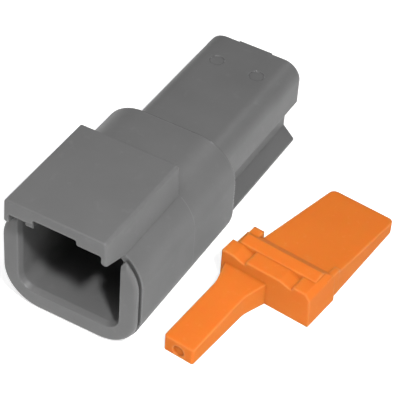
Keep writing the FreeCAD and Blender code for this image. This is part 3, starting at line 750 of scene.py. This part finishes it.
@dataclass(frozen=True)
class SoftLamp:
    """One softbox: a square area lamp that looks at the object."""

    name: str
    azimuth_deg: float
    elevation_deg: float
    distance_mm: float
    side_mm: float
    watts: float

    def build(self, target: Vector) -> None:
        """Place the lamp and turn it to the object.

        Args:
            target: The point it looks at, in metres.
        """
        way = towards(self.azimuth_deg, self.elevation_deg)
        data = bpy.data.lights.new(self.name, "AREA")
        data.shape = "SQUARE"
        data.size = self.side_mm * MM
        data.energy = self.watts
        lamp = bpy.data.objects.new(self.name, data)
        lamp.location = target + way * self.distance_mm * MM
        lamp.rotation_euler = (-way).to_track_quat("-Z", "Y").to_euler()
        bpy.context.scene.collection.objects.link(lamp)


@dataclass
class Studio:
    """The paper floor, the softboxes and the room's light."""

    paper: PaperSweep = field(default_factory=PaperSweep)
    floor_side_mm: float = 4000.0
    floor_drop_mm: float = 0.02
    reflected_level: float = 0.15
    # Each lamp's azimuth, elevation, distance, side and watts
    lamps: tuple[SoftLamp, ...] = (
        SoftLamp("key_softbox", 44.0, 51.0, 240.0, 20.0, 0.46),
        SoftLamp("top_softbox", 10.0, 70.0, 200.0, 120.0, 0.11),
        SoftLamp("right_softbox", 60.0, 15.0, 400.0, 100.0, 0.09),
        SoftLamp("left_softbox", -40.0, 60.0, 400.0, 100.0, 0.14),
        SoftLamp("low_softbox", 90.0, 3.0, 400.0, 60.0, 0.12),
        SoftLamp("edge_softbox", 165.0, 47.0, 400.0, 25.0, 0.12),
        SoftLamp("back_softbox", 250.0, 8.0, 400.0, 150.0, 0.22),
    )

    def build(self, target: Vector) -> None:
        """Make the floor, the lamps and the world.

        Args:
            target: The point the lamps look at, in metres.
        """
        floor = bmesh.new()
        bmesh.ops.create_grid(floor, x_segments=1, y_segments=1, size=self.floor_side_mm * MM / 2)
        bmesh.ops.translate(floor, verts=floor.verts, vec=(0.0, 0.0, -self.floor_drop_mm * MM))
        mesh = bpy.data.meshes.new("paper_floor")
        floor.to_mesh(mesh)
        floor.free()
        link(mesh, "paper_floor", self.paper.build())
        for lamp in self.lamps:
            lamp.build(target)
        self.build_world()

    def build_world(self) -> None:
        """Make the room: white where it is seen, dim where a piece reflects it, dark otherwise."""
        world = bpy.data.worlds.new("studio_room")
        world.use_nodes = True
        tree = world.node_tree
        tree.nodes.clear()
        rays = add_node(tree, "ShaderNodeLightPath")
        seen = add_node(
            tree,
            "ShaderNodeMath",
            {"operation": "MAXIMUM"},
            {0: rays.outputs["Is Camera Ray"], 1: rays.outputs["Is Transmission Ray"]},
        )
        reflected = add_node(
            tree,
            "ShaderNodeMath",
            {"operation": "MULTIPLY", 1: self.reflected_level},
            {0: rays.outputs["Is Glossy Ray"]},
        )
        level = add_node(
            tree,
            "ShaderNodeMath",
            {"operation": "MAXIMUM"},
            {0: seen.outputs["Value"], 1: reflected.outputs["Value"]},
        )
        room = add_node(
            tree, "ShaderNodeBackground", {"Color": WHITE}, {"Strength": level.outputs["Value"]}
        )
        add_node(tree, "ShaderNodeOutputWorld", None, {"Surface": room.outputs["Background"]})
        bpy.context.scene.world = world


# Glass fibre in the melt and a spark-eroded tool give the eye an even grey with a low satin sheen
GREY_PLASTIC = MouldedThermoplastic(
    name="glass-filled thermoplastic, grey, moulded",
    colour="#707070",
    cloud_colour="#656565",
    # The pale grey is rub marks, and on the edges partly wear and partly a painted highlight
    scuff_and_highlight_colour="#777777",
    # The deep grey is painted shade in the inner corners
    corner_shade_colour="#505050",
    roughness=0.5,
    witness=WitnessLine(y_mm=1.1, beyond_x_mm=7.4),
)
# Without glass fibre the moulding is softer to the eye: matt, and it lets a little light through
ORANGE_PLASTIC = MouldedThermoplastic(
    name="unfilled thermoplastic, orange, moulded",
    colour="#ef8131",
    cloud_colour="#e97b2c",
    # The pale orange is rub marks, and on the edges partly wear and partly a painted highlight
    scuff_and_highlight_colour="#f29048",
    corner_shade_colour="#cf5a0e",
    roughness=0.68,
    specular=0.08,
    glow_through=0.6,
    scuff_mm=0.9,
    grain_height_mm=0.006,
    # The deep orange is painted shade in the inner corners
    edge_round_mm=0.4,
)


def main() -> None:
    """Build the scene in order and report each piece."""
    logging.basicConfig(level=logging.INFO, format="%(name)s: %(message)s")
    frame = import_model()
    bpy.context.scene.view_settings.view_transform = "Standard"
    mouldings = (
        HousingMoulding(Piece.HOUSING, Slot.GREY, GREY_PLASTIC),
        # In the photograph no orange falls on the housing from the wedge beside it
        SmoothedMoulding(Piece.WEDGE_LOCK, Slot.ORANGE, ORANGE_PLASTIC, tints_others=False),
        SmoothedMoulding(Piece.WIRE_SEAL, Slot.SILICONE, MouldedSilicone()),
        SmoothedMoulding(Piece.PIN_LEFT, Slot.NICKEL, NickelPlate()),
        SmoothedMoulding(Piece.PIN_RIGHT, Slot.NICKEL, NickelPlate()),
    )
    for moulding in mouldings:
        moulding.build(frame["nodes"])
    camera = PhotoCamera()
    camera.build()
    Studio().build(Vector(camera.target_mm) * MM)


if __name__ == "__main__":
    main()
